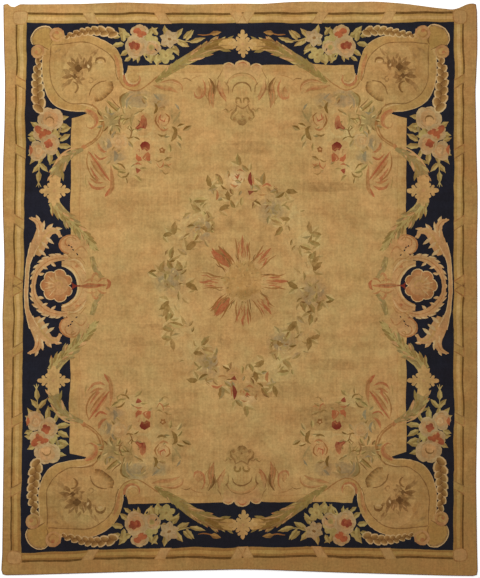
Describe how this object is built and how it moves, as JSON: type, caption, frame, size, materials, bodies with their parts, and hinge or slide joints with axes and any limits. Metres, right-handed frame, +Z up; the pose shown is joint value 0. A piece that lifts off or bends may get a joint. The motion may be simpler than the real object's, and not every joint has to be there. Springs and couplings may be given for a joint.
{
  "type": "aubusson rug",
  "caption": "Flat room-size wool carpet with a floral field, scrolled corner panels, a dark border and a plain outer band, made in one piece.",
  "frame": {"origin": "on the floor under the middle of the carpet's outline", "axes": "+Z up off the floor, +Y along the length towards the end with the notched corner, +X across the width"},
  "size_m": [3.0584, 3.6886, 0.016],
  "materials": {
    "wool_pile": "short worn wool pile, golden beige ground with a dark border"
  },
  "bodies": {
    "root": {"rug": "wool_pile"}
  },
  "joints": []
}
